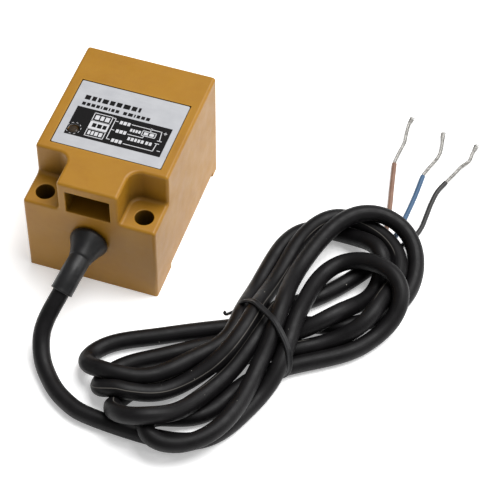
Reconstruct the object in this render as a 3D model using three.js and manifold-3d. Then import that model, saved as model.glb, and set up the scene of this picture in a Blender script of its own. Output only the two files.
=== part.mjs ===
// Block-shaped inductive proximity sensor with a coiled three-wire cable.
// Millimetres, +Z up. The origin is the centre of the housing's base; +Y points
// at the sensing face and the cable leaves through the opposite (-Y) face.

import * as THREE from 'three';
import { mergeVertices } from 'three/addons/utils/BufferGeometryUtils.js';
import Module from 'manifold-3d';

const wasm = await Module();
wasm.setup();

// ---------------------------------------------------------------- dimensions

const gap = 0.3; // clearance between separate pieces

// housing
const bodyWidth = 40;
const bodyLength = 53;
const bodyHeight = 40;
const halfWidth = bodyWidth / 2;
const sensingFace = bodyLength / 2;
const cableFace = -bodyLength / 2;
const edgeRadius = 1;
const wall = 2.5;

// mounting shelves, the tongue between them and the screw holes
const deckFront = -15;
const shelfHeight = 28.7;
const tongueHalf = 9.2;
const recessFillet = 3.5;
const screwSpacing = 30;
const screwRadius = 2.75;
const screwY = -21.5;

// pocket in the front of the tongue
const pocketHalf = 6.6;
const pocketTop = 36.9;
const pocketDepth = 9.5;

// feet under the housing
const footHeight = 1.9;
const frontFootEnd = -14.5;
const backFootStart = 22.5;

// inside of the housing
const cavityHalf = 17.25;
const cavityFront = -13;
const cavityBack = sensingFace - wall;
const cavityFloor = 4.5;
const cavityRoof = bodyHeight - wall;
const coverEnd = 22;
const channelHalf = 10;
const channelFront = -24;
const channelFloor = 8;
const channelRoof = 26;
const cableHole = 4.3;
const railHeight = 1.5;
const railOverlap = 0.8;

// cover that closes the bottom of the housing
const coverThickness = 1.6;
const coverCorner = 0.4;
const rimInset = 2;
const rimWidth = 2;
const rimBottom = footHeight + 1;
const rimTop = footHeight + 2.3;

// nameplate and indicator
const plateCentre = [0.25, 0.4];
const plateSize = [33, 25];
const plateThickness = 0.4;
const plateTop = bodyHeight - 0.1;
const plateRecess = 0.8;
const indicator = [-12, -5.5];
const indicatorHole = 1.7;
const lensFlange = 0.7;
const lensFoot = 34.6;

// cable, strain relief and wires
const cableRadius = 2.5;
const cableSides = 10;
const cableHeight = 18.7;
const wireRadius = 0.75;
const conductorRadius = 0.45;
const jacketEndInside = -15.5;
const collarRadius = 5.6;
const collarLip = 1.4;
const taperRadius = 3.9;
const taperLength = 7;
const plugRadius = 5.2;
const neckRadius = 4;
const tailRadius = 3.65;

// pot core and coil, on an axis along Y
const coilHeight = 20;
const coreRadius = 14.5;
const coreInner = 12.2;
const corePost = 5.5;
const coreBack = 13.5;
const coreFront = 23.5;
const corePlate = 3;
const coreBore = 1.6;
const coreSlotHalf = 2.5;
const bobbinHub = 6.6;
const bobbinWall = 0.7;
const windingRadius = 11;
const coilWireRadius = 0.3;

// circuit board
const boardWidth = 32;
const boardFront = -12.5;
const boardBack = 12;
const boardThickness = 1.6;
const boardBottom = 30;
const boardTop = boardBottom + boardThickness;
const solderGap = boardTop + gap;

// coiled part of the cable
const hankHeight = 14.4;
const hankRound = 2;
const tieCentre = [54.9, -33.2];
const tieHalfSpan = 15.7;
const tieAngle = Math.atan2(-0.63, 0.78);
const tieWidth = 1.8;
const tieThickness = 0.9;

// ------------------------------------------------------------- solid helpers

// A closed solid from a three.js geometry: shared corners merged, triangles
// with no area dropped, and every face turned outwards.
function solid(geometry) {
  const bare = geometry.clone();
  bare.deleteAttribute('normal');
  bare.deleteAttribute('uv');
  const merged = mergeVertices(bare, 1e-4);
  const points = merged.getAttribute('position').array;
  const corners = merged.getIndex().array;
  const kept = [];
  let volume = 0;
  for (let i = 0; i < corners.length; i += 3) {
    const [a, b, c] = corners.subarray(i, i + 3);
    if (a === b || b === c || c === a) {
      continue;
    }
    kept.push([a, b, c]);
    const pa = new THREE.Vector3().fromArray(points, 3 * a);
    const pb = new THREE.Vector3().fromArray(points, 3 * b);
    const pc = new THREE.Vector3().fromArray(points, 3 * c);
    volume += pa.dot(pb.cross(pc));
  }
  const outward = volume > 0 ? kept : kept.map(([a, b, c]) => [a, c, b]);
  return new wasm.Manifold(new wasm.Mesh({
    numProp: 3,
    vertProperties: Float32Array.from(points),
    triVerts: Uint32Array.from(outward.flat()),
  }));
}

// The three.js geometry of a finished solid.
function geometryOf(body) {
  const mesh = body.getMesh();
  const geometry = new THREE.BufferGeometry();
  geometry.setAttribute('position', new THREE.BufferAttribute(mesh.vertProperties, 3));
  geometry.setIndex(new THREE.BufferAttribute(mesh.triVerts, 1));
  geometry.computeVertexNormals();
  return geometry;
}

// A box between two corners.
function box(low, high) {
  const size = high.map((value, i) => value - low[i]);
  const centre = high.map((value, i) => (value + low[i]) / 2);
  return solid(new THREE.BoxGeometry(...size).translate(...centre));
}

// A cylinder along Z, or along Y when upright is false.
function cylinder(radius, start, end, centre, segments = 24, upright = true) {
  const geometry = new THREE.CylinderGeometry(radius, radius, end - start, segments);
  const middle = (start + end) / 2;
  if (upright) {
    return solid(geometry.rotateX(Math.PI / 2).translate(centre[0], centre[1], middle));
  }
  return solid(geometry.translate(centre[0], middle, centre[1]));
}

// A profile of [radius, y] pairs turned about the Y axis.
function turned(profile, segments = 24) {
  const points = profile.map(([radius, y]) => new THREE.Vector2(radius, y));
  return solid(new THREE.LatheGeometry(points, segments));
}

// A ring or sleeve turned about the Y axis.
function ring(inner, outer, start, end, segments = 24) {
  return turned([[inner, start], [outer, start], [outer, end], [inner, end], [inner, start]], segments);
}

// A rectangle with rounded corners, as a shape in the XY plane.
function roundedRectangle(width, length, radius) {
  const x = width / 2 - radius;
  const y = length / 2 - radius;
  const shape = new THREE.Shape();
  shape.absarc(x, y, radius, 0, Math.PI / 2);
  shape.absarc(-x, y, radius, Math.PI / 2, Math.PI);
  shape.absarc(-x, -y, radius, Math.PI, Math.PI * 1.5);
  shape.absarc(x, -y, radius, Math.PI * 1.5, Math.PI * 2);
  shape.closePath();
  return shape;
}

// A shape in the XY plane raised from one height to another, with its edges
// rounded by the given amount.
function prism(shape, bottom, top, round = 0, curveSegments = 3) {
  const geometry = new THREE.ExtrudeGeometry(shape, {
    depth: top - bottom - 2 * round,
    curveSegments,
    bevelEnabled: round > 0,
    bevelSize: round,
    bevelOffset: -round,
    bevelThickness: round,
    bevelSegments: 2,
  });
  return solid(geometry.translate(0, 0, bottom + round));
}

// A round bar along a smooth curve through the points.
function bar(points, radius, sides, steps) {
  const curve = new THREE.CatmullRomCurve3(
    points.map((point) => new THREE.Vector3(...point)), false, 'centripetal');
  const section = [];
  for (let i = 0; i < sides; i += 1) {
    const angle = (2 * Math.PI * i) / sides;
    section.push(new THREE.Vector2(radius * Math.cos(angle), radius * Math.sin(angle)));
  }
  return solid(new THREE.ExtrudeGeometry(new THREE.Shape(section), {
    steps,
    extrudePath: curve,
    bevelEnabled: false,
  }));
}

// ------------------------------------------------------------------- housing

// Outline of the space above one mounting shelf, with the inner corner filleted.
function shelfOutline(side) {
  const outer = side * (halfWidth + 1);
  const inner = side * tongueHalf;
  const shape = new THREE.Shape();
  shape.moveTo(outer, cableFace - 1);
  shape.lineTo(inner, cableFace - 1);
  shape.lineTo(inner, deckFront - recessFillet);
  shape.quadraticCurveTo(inner, deckFront, inner + side * recessFillet, deckFront);
  shape.lineTo(outer, deckFront);
  shape.closePath();
  return shape;
}

function makeHousing() {
  const outline = roundedRectangle(bodyWidth, bodyLength, edgeRadius);
  let body = prism(outline, 0, bodyHeight, 0.6);
  for (const side of [-1, 1]) {
    body = body.subtract(prism(shelfOutline(side), shelfHeight, bodyHeight + 2));
    const hole = [side * screwSpacing / 2, screwY];
    body = body.subtract(cylinder(screwRadius, -1, shelfHeight + 1, hole, 32));
  }
  body = body.subtract(box(
    [-pocketHalf, cableFace - 1, shelfHeight],
    [pocketHalf, cableFace + pocketDepth, pocketTop]));
  body = body.subtract(box(
    [-halfWidth - 1, frontFootEnd, -1],
    [halfWidth + 1, backFootStart, footHeight]));
  body = body.subtract(box(
    [-cavityHalf, cavityFront, cavityFloor],
    [cavityHalf, cavityBack, cavityRoof]));
  body = body.subtract(box([-cavityHalf, cavityFront, 0], [cavityHalf, coverEnd, cavityFloor + 1]));
  body = body.subtract(box(
    [-channelHalf, channelFront, channelFloor],
    [channelHalf, cavityFront + 1, channelRoof]));
  body = body.subtract(
    cylinder(cableHole, cableFace - 1, channelFront + 1, [0, cableHeight], 24, false));
  const [plateX, plateY] = plateCentre;
  const recess = roundedRectangle(plateSize[0] + 2 * gap, plateSize[1] + 2 * gap, 0.5);
  body = body.subtract(
    prism(recess, bodyHeight - plateRecess, bodyHeight + 1).translate(plateX, plateY, 0));
  body = body.subtract(cylinder(indicatorHole, cavityRoof - 1, bodyHeight + 1, indicator));
  for (const side of [-1, 1]) {
    const inner = side * (boardWidth / 2 - railOverlap);
    const outer = side * (cavityHalf + 0.25);
    body = body.add(box(
      [Math.min(inner, outer), boardFront, boardBottom - gap - railHeight],
      [Math.max(inner, outer), boardBack, boardBottom - gap]));
  }
  return body;
}

// A flat plate with a low rim on its inner side, drawn about its own centre.
function makeBaseCover() {
  const width = 2 * (cavityHalf - gap);
  const length = coverEnd - cavityFront - 2 * gap;
  const middle = (coverEnd + cavityFront) / 2;
  const inset = (amount) => roundedRectangle(width - 2 * amount, length - 2 * amount, coverCorner);
  const plate = prism(inset(0), footHeight, footHeight + coverThickness);
  const rim = prism(inset(rimInset), rimBottom, rimTop);
  const hollow = prism(inset(rimInset + rimWidth), footHeight + coverThickness, rimTop + 1);
  return plate.add(rim.subtract(hollow)).translate(0, middle, 0);
}

function makeNameplate() {
  const plate = prism(roundedRectangle(...plateSize, 0.4), plateTop - plateThickness, plateTop);
  const hole = cylinder(indicatorHole, plateTop - 1, plateTop + 1, [
    indicator[0] - plateCentre[0], indicator[1] - plateCentre[1]]);
  return plate.subtract(hole);
}

// A light guide: a flange under the roof and a stem that fills the hole.
function makeIndicatorLens() {
  const stem = indicatorHole - gap;
  const flange = indicatorHole + lensFlange;
  const flangeTop = cavityRoof - gap;
  const domeStart = plateTop - 0.4;
  return turned([
    [0, lensFoot], [stem, lensFoot], [stem, flangeTop - 1], [flange, flangeTop - 1],
    [flange, flangeTop], [stem, flangeTop], [stem, domeStart], [stem * 0.7, plateTop - 0.1],
    [0, plateTop],
  ], 20);
}

// ------------------------------------------------- strain relief and cable

// The cable from inside the housing, drooping to the ground and running to the coil.
const leadRoute = [
  [0, jacketEndInside, cableHeight], [0, -21, cableHeight], [0, -27, cableHeight],
  [-0.2, -33, 18.4], [-1, -38.5, 17.2], [-2.1, -43.2, 14.8], [-3.3, -47, 12.2],
  [-4.3, -50.2, 9.6], [-4.6, -53.5, 7.2], [-3.7, -57, 5], [-1.7, -60.8, 3.4],
  [1.4, -64.6, 2.7], [5.4, -68.4, 2.6], [10, -71.2, 2.6], [14.6, -72.9, 2.6],
];

// The drooping tail of the strain relief follows the same route.
const reliefTail = [
  [0, -27, cableHeight], [-0.2, -33, 18.4], [-1, -38.5, 17.2], [-2.1, -43.2, 14.8],
];
const reliefBore = [
  [0, -20, cableHeight], [0, -24, cableHeight], ...reliefTail, [-3.3, -47, 12.2],
];

// A plug inside the wall, a neck through it, a flared collar outside and the tail.
function makeStrainRelief() {
  const face = cableFace - gap;
  const plugBack = channelFront + 2;
  const plugFront = channelFront + gap;
  const collar = turned([
    [0, plugBack], [plugRadius, plugBack], [plugRadius, plugFront], [neckRadius, plugFront],
    [neckRadius, face], [collarRadius, face], [collarRadius, face - collarLip],
    [taperRadius, face - taperLength], [0, face - taperLength], [0, plugBack],
  ]).translate(0, 0, cableHeight);
  const tail = bar(reliefTail, tailRadius, 12, 8);
  return collar.add(tail).subtract(bar(reliefBore, cableRadius + gap, 12, 16));
}

function makeCableClamp() {
  return ring(cableRadius + gap, 4.4, -19.5, -17)
    .add(ring(cableRadius + gap, 3.6, -20.4, -16.2));
}

function makeLead() {
  return bar(leadRoute, cableRadius, cableSides, 30);
}

// Outline of the coiled cable seen from above: a figure eight pinched at the tie.
const hankOutline = [
  [7.8, -56.5], [10.5, -50.5], [15.5, -45.6], [21, -41.4], [32.3, -34.6], [41, -29.5], [43.3, -24],
  [42.8, -10], [43.5, -2], [48.5, 9.8], [53.2, 14.2], [61, 17.8], [66, 22], [71, 25], [77, 25.6],
  [83, 23.4], [88, 18], [91.3, 9], [92.6, 0], [92, -9], [90.2, -17.7], [86.8, -23.5], [80.5, -30.5],
  [72.8, -36.7], [67.2, -40.5], [64.5, -45.5], [62.2, -51.5], [60.4, -57.5], [57.5, -65],
  [54, -71.8], [49, -77.2], [42.5, -79.8], [36, -79.4], [28, -77.2], [19.3, -73.6], [15.4, -69.6],
  [11.4, -65], [8.4, -61],
];

function makeHank() {
  const curve = new THREE.CatmullRomCurve3(
    hankOutline.map(([x, y]) => new THREE.Vector3(x, y, 0)), true, 'centripetal');
  const edge = curve.getSpacedPoints(2 * hankOutline.length).slice(0, -1);
  const shape = new THREE.Shape(edge.map((point) => new THREE.Vector2(point.x, point.y)));
  return prism(shape, 0, hankHeight, hankRound);
}

// A flat band over the waist of the coil, drawn in the XZ plane of its own group.
function makeTie() {
  const inner = tieHalfSpan + gap;
  const top = hankHeight + gap;
  const outer = inner + tieThickness;
  const shape = new THREE.Shape();
  shape.moveTo(-outer, 0);
  shape.lineTo(-inner, 0);
  shape.lineTo(-inner, top);
  shape.lineTo(inner, top);
  shape.lineTo(inner, 0);
  shape.lineTo(outer, 0);
  shape.lineTo(outer, top);
  shape.lineTo(inner, top + tieThickness);
  shape.lineTo(-inner, top + tieThickness);
  shape.lineTo(-outer, top);
  shape.closePath();
  const geometry = new THREE.ExtrudeGeometry(shape, { depth: tieWidth, bevelEnabled: false });
  return solid(geometry.translate(0, 0, -tieWidth / 2).rotateX(Math.PI / 2));
}

// Each free wire: the insulated part from the coil's edge, then the bare strands.
const wires = {
  brown: {
    colour: 0x7a4a2e,
    insulated: [[75.3, 26.4, 1], [74.7, 28.4, 0.9], [73, 35.7, 0.8], [71.2, 44.8, 0.8]],
    bare: [[71.2, 45.3, 0.6], [71.4, 49.9, 0.5], [71.8, 54.2, 0.5], [71.4, 57.8, 0.5],
      [71.1, 62, 0.5], [71.4, 64.8, 0.5]],
  },
  blue: {
    colour: 0x2f5f9e,
    insulated: [[80.2, 25.9, 1], [80.3, 28, 0.9], [80.7, 34.3, 0.8], [80.8, 42.7, 0.8]],
    bare: [[80.9, 43.2, 0.6], [81.8, 46.8, 0.5], [83.1, 51, 0.5], [83.4, 53.6, 0.5],
      [82.9, 58, 0.5], [82.2, 61.9, 0.5]],
  },
  black: {
    colour: 0x1b1b1c,
    insulated: [[85.8, 22.4, 1], [86, 26.9, 0.9], [86.1, 33, 0.8], [86.7, 38.4, 0.8],
      [88.1, 42.5, 0.8]],
    bare: [[88.3, 43, 0.6], [89.7, 46.6, 0.5], [91.1, 50.4, 0.5], [92.7, 53.2, 0.5],
      [92.9, 56.4, 0.5], [93.4, 60.1, 0.5]],
  },
};

// ----------------------------------------------------------- coil and core

// Everything here is drawn about the Y axis and raised to the coil's height.
function makeCore() {
  const plateEnd = coreBack + corePlate;
  const cup = turned([
    [coreBore, coreBack], [coreRadius, coreBack], [coreRadius, coreFront], [coreInner, coreFront],
    [coreInner, plateEnd], [corePost, plateEnd], [corePost, coreFront], [coreBore, coreFront],
    [coreBore, coreBack],
  ], 40);
  return cup.subtract(box(
    [-coreSlotHalf, plateEnd, coreInner - 1],
    [coreSlotHalf, coreFront + 1, coreRadius + 1]));
}

const bobbinStart = coreBack + corePlate + gap;
const bobbinEnd = coreFront - gap;

function makeBobbin() {
  const rim = coreInner - gap;
  return turned([
    [corePost + gap, bobbinStart], [rim, bobbinStart], [rim, bobbinStart + bobbinWall],
    [bobbinHub, bobbinStart + bobbinWall], [bobbinHub, bobbinEnd - bobbinWall],
    [rim, bobbinEnd - bobbinWall], [rim, bobbinEnd], [corePost + gap, bobbinEnd],
    [corePost + gap, bobbinStart],
  ], 32);
}

function makeWinding() {
  const space = bobbinWall + gap;
  return ring(bobbinHub + gap, windingRadius, bobbinStart + space, bobbinEnd - space, 32);
}

// A coil end, out through the core's slot and down to its pad on the board.
function makeCoilLead(side) {
  const z = 31.7;
  return bar([
    [side * 1.1, 20, z], [side * 1.1, 20, 34.4], [side * 1.2, 18.6, 35.9], [side * 1.5, 14, 35.9],
    [side * 2, 11.2, 34.6], [side * 2.2, 10.4, solderGap + 0.1],
  ], coilWireRadius, 6, 10);
}

// ------------------------------------------------------------- electronics

function makeBoard() {
  const middle = (boardFront + boardBack) / 2;
  let board = prism(roundedRectangle(boardWidth, boardBack - boardFront, 0.8), boardBottom, boardTop)
    .translate(0, middle, 0);
  for (const x of [-6, 0, 6]) {
    board = board.subtract(cylinder(0.5, boardBottom - 1, boardTop + 1, [x, -10.5], 12));
  }
  return board;
}

// A chip with legs along both long sides, standing on z = 0.
function makeChip(width, length, height, legs, pitch) {
  const legWidth = 0.4;
  const reach = width / 2 + 0.9;
  let chip = box([-width / 2, -length / 2, 0.15], [width / 2, length / 2, height]);
  for (let i = 0; i < legs; i += 1) {
    const y = (i - (legs - 1) / 2) * pitch;
    chip = chip.add(box([-reach, y - legWidth / 2, 0], [reach, y + legWidth / 2, 0.35]));
  }
  return chip;
}

// A two-ended part such as a resistor: a body between two end caps, on z = 0.
function makeTwoEnded(length, width, height) {
  const cap = length * 0.22;
  const lift = 0.08;
  const middle = [length / 2 - cap / 2, width / 2 - lift];
  return box([-middle[0], -middle[1], lift], [...middle, height - lift])
    .add(box([-length / 2, -width / 2, 0], [-length / 2 + cap, width / 2, height]))
    .add(box([length / 2 - cap, -width / 2, 0], [length / 2, width / 2, height]));
}

function makeLed() {
  return box([-0.9, -0.6, 0], [0.9, 0.6, 0.5]).add(cylinder(0.5, 0.4, 0.9, [0, 0], 12));
}

function makeTrimmer() {
  const screw = cylinder(1.5, 2, 2.7, [0, 0], 16).subtract(box([-1.2, -0.25, 2.35], [1.2, 0.25, 3]));
  return box([-2.2, -2.2, 0], [2.2, 2.2, 2.2]).add(screw);
}

// A can hanging below the board, with the crimped groove near its lead end.
function makeSupplyCapacitor() {
  return turned([
    [0, 0], [2.3, 0], [2.5, 0.3], [2.5, 5], [2.25, 5.4], [2.5, 5.8], [2.5, 6.7], [0, 6.7],
  ], 20).rotate(90, 0, 0);
}

function makeDiode() {
  return turned([[0, -2.4], [1.1, -2.4], [1.1, -1.6], [0.95, -1.6], [0.95, 1.6], [1.1, 1.6],
    [1.1, 2.4], [0, 2.4]], 16);
}

// A signal lead from the stripped cable end up to the underside of the board.
function makeInnerLead(start, padX) {
  const begin = jacketEndInside + gap;
  return bar([
    [start[0], begin, start[1]], [start[0], begin + 2, start[1]],
    [(start[0] + padX) / 2, -11.2, (start[1] + boardBottom) / 2 - 2],
    [padX, -10.4, boardBottom - 3.5], [padX, -10.5, boardBottom - gap],
  ], wireRadius, 6, 10);
}

// Resin in the lower part of the housing, cut round the lower half of the core.
function makePotting() {
  const block = box(
    [-cavityHalf + gap, cavityFront + gap, cavityFloor + gap],
    [cavityHalf - gap, cavityBack - gap, 13.5]);
  return block.subtract(
    cylinder(coreRadius + gap, coreBack - gap, cavityBack + 1, [0, coilHeight], 40, false));
}

// ------------------------------------------------------------------ assembly

function material(color, roughness, metalness = 0) {
  return new THREE.MeshStandardMaterial({ color, roughness, metalness });
}

function addPiece(group, name, body, look, position = [0, 0, 0]) {
  const mesh = new THREE.Mesh(geometryOf(body), look);
  mesh.name = name;
  mesh.position.set(...position);
  group.add(mesh);
  return mesh;
}

function makeShell() {
  const shell = new THREE.Group();
  addPiece(shell, 'housing', makeHousing(), material(0xb88932, 0.45));
  addPiece(shell, 'base_cover', makeBaseCover(), material(0xa87c2e, 0.5));
  addPiece(shell, 'nameplate', makeNameplate(), material(0xd4d7dc, 0.35, 0.6), [...plateCentre, 0]);
  const amber = material(0x5a2412, 0.2);
  const lens = addPiece(shell, 'indicator_lens', makeIndicatorLens(), amber, [...indicator, 0]);
  lens.rotation.x = Math.PI / 2;
  addPiece(shell, 'potting_resin', makePotting(), material(0x2a2624, 0.5));
  return shell;
}

function makeCoilGroup() {
  const coil = new THREE.Group();
  coil.position.z = coilHeight;
  addPiece(coil, 'ferrite_core', makeCore(), material(0x3a3a3d, 0.7));
  addPiece(coil, 'coil_bobbin', makeBobbin(), material(0xe6e1d2, 0.5));
  addPiece(coil, 'coil_winding', makeWinding(), material(0xb5622a, 0.35, 0.7));
  return coil;
}

function makeBoardGroup() {
  const board = new THREE.Group();
  addPiece(board, 'circuit_board', makeBoard(), material(0x1f6b3a, 0.45));
  const chipBlack = material(0x1c1c1e, 0.5);
  const topSide = new THREE.Group();
  topSide.position.z = solderGap;
  addPiece(topSide, 'oscillator_chip', makeChip(3.9, 4.9, 1.5, 4, 1.27), chipBlack, [4, 3, 0]);
  addPiece(topSide, 'output_transistor', makeChip(3.5, 6.5, 1.7, 3, 2.3), chipBlack.clone(), [10.5, -6, 0]);
  addPiece(topSide, 'indicator_led', makeLed(), material(0xf1eeda, 0.3), [...indicator, 0]);
  addPiece(topSide, 'sensitivity_trimmer', makeTrimmer(), material(0x2f4fa0, 0.4), [-9.5, 5.5, 0]);
  addPiece(topSide, 'filter_capacitor', makeTwoEnded(3.2, 1.6, 1.5), material(0xb79a6b, 0.5), [-4, -3, 0]);
  addPiece(topSide, 'protection_diode', makeDiode(), material(0x40332c, 0.25), [3.2, -6, 1.15]);
  const resistorPlaces = [[-3, 3], [-3, 6], [11.5, 3]];
  resistorPlaces.forEach(([x, y], i) => {
    addPiece(topSide, `resistor_${i + 1}`, makeTwoEnded(3.2, 1.6, 0.6), material(0x232325, 0.5), [x, y, 0]);
  });
  board.add(topSide);
  const can = makeSupplyCapacitor();
  addPiece(board, 'supply_capacitor', can, material(0x26304a, 0.35), [9, 2, boardBottom - gap - 6.7]);
  return board;
}

function makeCableGroup() {
  const cable = new THREE.Group();
  const jacket = material(0x161617, 0.55);
  addPiece(cable, 'strain_relief', makeStrainRelief(), material(0x141415, 0.45));
  addPiece(cable, 'cable_clamp', makeCableClamp(), material(0xb8babd, 0.35, 0.8), [0, 0, cableHeight]);
  addPiece(cable, 'cable_lead', makeLead(), jacket);
  addPiece(cable, 'cable_hank', makeHank(), jacket.clone());
  const tie = addPiece(cable, 'cable_tie', makeTie(), material(0x101011, 0.5), [...tieCentre, 0]);
  tie.rotation.z = tieAngle;
  for (const [name, wire] of Object.entries(wires)) {
    const insulation = bar(wire.insulated, wireRadius, 8, 12);
    const strands = bar(wire.bare, conductorRadius, 6, 12);
    addPiece(cable, `${name}_wire`, insulation, material(wire.colour, 0.5));
    addPiece(cable, `${name}_conductor`, strands, material(0xb9b2a6, 0.35, 0.9));
  }
  const leads = [['brown', [-1, 18.1], -6], ['black', [0, 19.9], 0], ['blue', [1, 18.1], 6]];
  for (const [name, start, padX] of leads) {
    addPiece(cable, `inner_lead_${name}`, makeInnerLead(start, padX), material(wires[name].colour, 0.5));
  }
  return cable;
}

const sensor = new THREE.Group();
sensor.add(makeShell(), makeCoilGroup(), makeBoardGroup(), makeCableGroup());
const coilEnds = { coil_lead_start: -1, coil_lead_finish: 1 };
for (const [name, side] of Object.entries(coilEnds)) {
  addPiece(sensor, name, makeCoilLead(side), material(0xb5622a, 0.35, 0.7));
}

export default sensor;
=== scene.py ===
"""Looks for a block-shaped proximity sensor and its coiled cable.

Shapes are worked out in millimetres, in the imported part's own frame, and become metres when a mesh is made.
"""

import math
from contextlib import contextmanager

import bmesh
import bpy
import numpy as np
from mathutils import Matrix, Vector


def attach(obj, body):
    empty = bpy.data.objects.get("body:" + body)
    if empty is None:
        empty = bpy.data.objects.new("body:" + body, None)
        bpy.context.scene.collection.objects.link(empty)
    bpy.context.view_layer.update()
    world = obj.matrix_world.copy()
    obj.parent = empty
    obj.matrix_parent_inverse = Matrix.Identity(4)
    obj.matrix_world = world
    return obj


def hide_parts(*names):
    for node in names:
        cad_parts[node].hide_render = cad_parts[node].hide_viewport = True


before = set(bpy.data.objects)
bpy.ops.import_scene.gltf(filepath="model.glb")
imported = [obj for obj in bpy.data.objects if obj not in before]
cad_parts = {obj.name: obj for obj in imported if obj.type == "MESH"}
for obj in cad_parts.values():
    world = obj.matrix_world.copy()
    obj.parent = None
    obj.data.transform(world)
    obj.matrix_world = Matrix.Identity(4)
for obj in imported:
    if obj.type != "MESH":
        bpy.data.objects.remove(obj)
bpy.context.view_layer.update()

MM = 0.001

# Added to a length before something is divided by it.
TINY = 1e-9

# Points closer than this are one point, and an edge this close to a face lies on it, both in mm.
WELD = 0.001
NEAR = 0.1

# ---- dimensions

# camera
CAMERA_PLACE = (156.4, -360.3, 469.2)
CAMERA_AZIMUTH = 17.98
CAMERA_ELEVATION = 51.17
CAMERA_ROLL = 0.64
CAMERA_LENS = 146.24

# housing
HALF_WIDTH = 20.0
HALF_LENGTH = 26.5
HEIGHT = 40.0
DECK_FRONT = -15.0
SHELF_HEIGHT = 28.7
TONGUE_HALF = 9.2
RECESS_FILLET = 3.5
SCREW_X = 15.0
SCREW_Y = -21.5
SCREW_RADIUS = 2.75
CABLE_HOLE = 4.3
POCKET_HALF = 6.6
POCKET_TOP = 36.9
POCKET_DEPTH = 9.5
FOOT_HEIGHT = 1.9
FRONT_FOOT_END = -14.5
BACK_FOOT_START = 22.5
CAVITY_HALF = 17.25
CAVITY_FRONT = -13.0
CAVITY_BACK = 24.0
CAVITY_FLOOR = 4.5
CAVITY_ROOF = 37.5
COVER_END = 22.0
CHANNEL_HALF = 10.0
CHANNEL_FRONT = -24.0
CHANNEL_FLOOR = 8.0
CHANNEL_ROOF = 26.0

# Edges flatter than the first angle vanish, those past the second are rounded, and after that the edges
# past the third are shaded as sharp.
FLAT_ANGLE = math.radians(0.5)
SHARP_ANGLE = math.radians(25)
SHADED_ANGLE = math.radians(38)

# nameplate
PLATE_CENTRE = (0.25, 0.4)
PLATE_SIZE = (33.6, 25.6)
PLATE_TOP = 39.9
PLATE_RECESS = 0.8
INDICATOR = (-12.0, -5.5)
INDICATOR_HOLE = 1.7

# cable, strain relief and wires
CABLE_RADIUS = 2.5
CABLE_HEIGHT = 18.7
WIRE_RADIUS = 0.75
WIRE_SPREAD = 1.0
STRAND_RADIUS = 0.19
STRAND_LAY = 4.2
STRAND_SIDES = 7
SPLAY_LENGTH = 2.5
BOOT_START = 22  # how far in front of the housing's middle the boot begins, inside it
BOOT_LENGTH = 22.8
BOOT_ROOT = 3.6
BOOT_TAIL = 3.24

# ---- cable's route

# Out of the housing, down to the ground and over to the coil. The CAD lead has the same points.
LEAD = [
    (0, -15.5, 18.7), (0, -21, 18.7), (0, -27, 18.7), (-0.2, -33, 18.4), (-1, -38.5, 17.2),
    (-2.1, -43.2, 14.8), (-3.3, -47, 12.2), (-4.3, -50.2, 9.6), (-4.6, -53.5, 7.2), (-3.7, -57, 5),
    (-1.7, -60.8, 3.4), (1.4, -64.6, 2.7), (5.4, -68.4, 2.6), (10, -71.2, 2.6), (14.6, -72.9, 2.6),
]

# The lobes of the coil, in the order of the cable. Each has the middle and radius of its round end, the
# angles at which the cable comes onto it and leaves it, the heights at the start, half way round and at the
# end, and then a few places of the strand that runs on from it through the tie.
LOBES = [
    # under the nearest lobe, then up to the tie
    ((38, -55), 19, (-90, -15), (2.5, 2.5, 2.5), [
        (60.3, -48, 3.5), (62.2, -35, 7.8), (62.8, -25, 8)]),
    # smallest far lobe
    ((75.7, -12), 11.3, (165, -40), (7, 8, 3.5), [
        (79, -28, 2.5), (70, -35.5, 2.5), (54.3, -50, 2.5), (46, -63.3, 2.5)]),
    # nearest lobe on the left
    ((39, -73.4), 4.8, (115, 290), (3.5, 6.8, 7.7), [
        (50.5, -72.2, 7.5), (55.8, -60, 7.5), (57.5, -45, 8), (57, -25, 10), (58.3, -8, 9.5)]),
    # largest far lobe, over the loose wires
    ((75.3, 3), 13, (165, -20), (10, 9, 3.2), [
        (85.5, -11, 2.5), (76, -20, 2.5), (60, -26.5, 2.5), (45, -32, 2.5), (29, -39.8, 2.5)]),
    # longest lobe on the left
    ((17.2, -55), 6.7, (125, 275), (2.5, 4, 7), [
        (27, -60, 7.3), (39, -50.6, 7), (46.5, -38.5, 7.3), (47.3, -24, 5.5), (47, -16, 3.2)]),
    # far lobe on the outside left
    ((64.5, -4), 16, (190, -45), (2.5, 3, 4.8), [
        (70.5, -22.5, 6), (60, -27.7, 3.5), (46, -36.3, 2.5), (31, -46.5, 2.5)]),
    # second lobe on the left
    ((21.5, -61), 5.4, (130, 285), (2.5, 3.4, 5.8), [
        (30, -63.6, 6), (40, -53.5, 6.2), (48.5, -40.5, 8.3), (51.5, -24, 7), (51, -15, 5.5)]),
    # far lobe between the other two
    ((68.6, -2.5), 15.8, (190, -10), (5, 5.4, 4.6), [
        (83.7, -13, 5.2), (81.3, -20, 6), (75.5, -26.3, 3.2), (64, -32.5, 2.5),
        (50, -41.5, 2.5), (37, -51, 2.5)]),
    # third lobe on the left
    ((27.7, -68.6), 5.9, (145, 290), (3, 5.8, 8), [
        (36.5, -71.3, 8), (44.5, -62.3, 7), (50, -48.5, 6.5), (53.5, -35, 7.5)]),
]

# The lobes' arcs have a point at least every 30 degrees.
ARC_STEP = 30

# The last strand, to where the jacket ends.
LAST_STRAND = [
    (55.5, -27, 6.5), (58.5, -20, 2.6), (63.5, -15, 2.5), (68.5, -8.5, 2.5), (73.5, -2.5, 2.5),
    (77, 2.5, 2.5), (79.4, 7.8, 2.5),
]

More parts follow.
